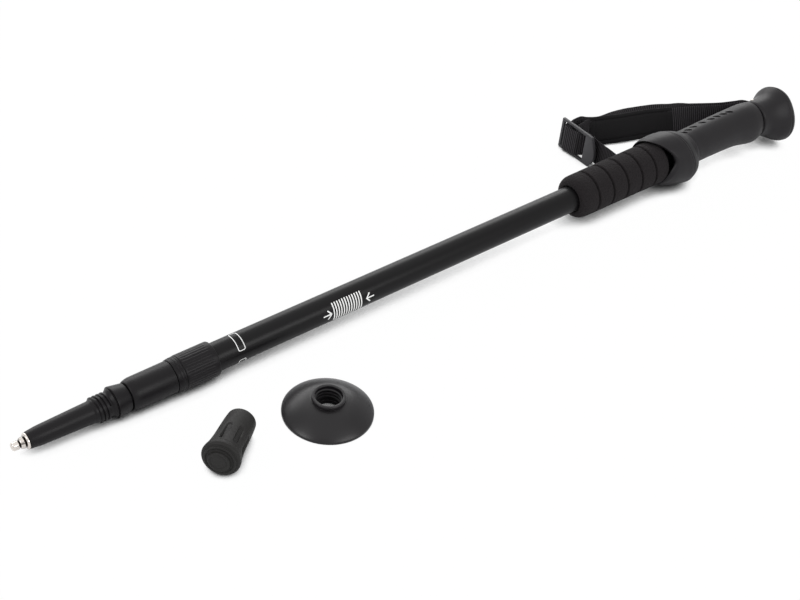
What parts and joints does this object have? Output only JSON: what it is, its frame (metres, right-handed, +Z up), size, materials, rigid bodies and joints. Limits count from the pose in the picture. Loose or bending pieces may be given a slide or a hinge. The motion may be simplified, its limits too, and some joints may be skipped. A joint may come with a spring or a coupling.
{
  "type": "telescopic walking pole",
  "caption": "Twist-lock telescopic walking pole with anti-shock spring, flared grip, foam sleeve and wrist strap, pushed together beside its rubber tip cap and mud basket.",
  "frame": {"origin": "middle of the bounding box's bottom, on the floor that everything lies on", "axes": "+X along the floor from the steel tip to the handle, +Y from the cap and basket towards the wrist strap, +Z up"},
  "size_m": [0.6352, 0.1678, 0.0423],
  "materials": {
    "anodised_tube": "satin black anodised",
    "black_plastic": "moulded black nylon, satin",
    "lock_nylon": "plain moulded nylon",
    "steel": "nickel plated",
    "brass": "turned",
    "foam": null,
    "grip_rubber": "moulded charcoal rubber, soft sheen",
    "webbing": "ribbed black nylon webbing",
    "pad_fabric": "smooth padded fabric with a stitched seam",
    "buckle_plastic": "moulded dark grey plastic",
    "cap_rubber": "dark grey moulded rubber"
  },
  "bodies": {
    "handle": {"upper_tube": "anodised_tube", "upper_collar": "black_plastic", "foam_grip": "foam", "grip": "grip_rubber", "grip_head": "grip_rubber", "strap_pin": "steel", "strap_webbing": "webbing", "wrist_pad": "pad_fabric", "strap_buckle": "buckle_plastic"},
    "wiper_ring": {"collar_ring": "black_plastic"},
    "upper_lock_sleeve": {"middle_sleeve": "lock_nylon"},
    "upper_lock_cone": {"middle_cone": "brass"},
    "shock_unit": {"shock_rod": "steel", "shock_seat": "lock_nylon", "shock_spring": "steel", "shock_stop_nut": "steel", "middle_end_nut": "lock_nylon"},
    "middle_section": {"middle_tube": "anodised_tube", "lower_collar": "black_plastic", "shock_guide": "lock_nylon"},
    "lower_lock_sleeve": {"lower_sleeve": "lock_nylon"},
    "lower_lock_cone": {"lower_cone": "brass"},
    "lower_section": {"lower_tube": "anodised_tube", "lower_plug": "lock_nylon", "lower_screw": "steel", "lower_end_nut": "lock_nylon", "tip_holder": "black_plastic", "tip_pin": "steel"},
    "tip_cap": {"rubber_cap": "cap_rubber"},
    "basket": {"mud_basket": "black_plastic"}
  },
  "joints": [
    {"name": "middle_twist", "type": "hinge", "parent": "handle", "child": "wiper_ring", "pos_m": [-0.31758, 0.00787, 0.0083], "axis": [0.9997, 0, 0.025], "range_deg": [0, 480]},
    {"name": "middle_extend", "type": "slide", "parent": "wiper_ring", "child": "middle_section", "axis": [-0.9997, 0, -0.025], "range_m": [0, 0.385]},
    {"name": "shock_travel", "type": "slide", "parent": "middle_section", "child": "shock_unit", "axis": [-0.9997, 0, -0.025], "range_m": [0, 0.012], "stiffness_N_per_m": 12000, "springref_m": -0.0015, "deforming": ["shock_spring"]},
    {"name": "middle_sleeve_turn", "type": "hinge", "parent": "shock_unit", "child": "upper_lock_sleeve", "pos_m": [-0.31758, 0.00787, 0.0083], "axis": [0.9997, 0, 0.025], "range_deg": [-481, 0]},
    {"name": "middle_cone_slide", "type": "slide", "parent": "upper_lock_sleeve", "child": "upper_lock_cone", "axis": [-0.9997, 0, -0.025], "range_m": [0, 0.0021]},
    {"name": "lower_extend", "type": "slide", "parent": "middle_section", "child": "lower_lock_sleeve", "axis": [-0.9997, 0, -0.025], "range_m": [0, 0.33]},
    {"name": "lower_twist", "type": "hinge", "parent": "lower_lock_sleeve", "child": "lower_section", "pos_m": [-0.31758, 0.00787, 0.0083], "axis": [0.9997, 0, 0.025], "range_deg": [0, 480]},
    {"name": "lower_cone_slide", "type": "slide", "parent": "lower_lock_sleeve", "child": "lower_lock_cone", "axis": [-0.9997, 0, -0.025], "range_m": [0, 0.0021]},
    {"name": "cap_lift", "type": "slide", "parent": "handle", "child": "tip_cap", "axis": [0, 0, 1], "range_m": [0, 0.1]},
    {"name": "basket_lift", "type": "slide", "parent": "handle", "child": "basket", "axis": [0, 0, 1], "range_m": [0, 0.1]}
  ],
  "couplings": [
    {"joint": "middle_sleeve_turn", "follows": "middle_twist", "ratio": -1},
    {"joint": "middle_cone_slide", "follows": "middle_twist", "m_per_rad": 0.00023873},
    {"joint": "lower_cone_slide", "follows": "lower_twist", "m_per_rad": 0.00023873}
  ]
}
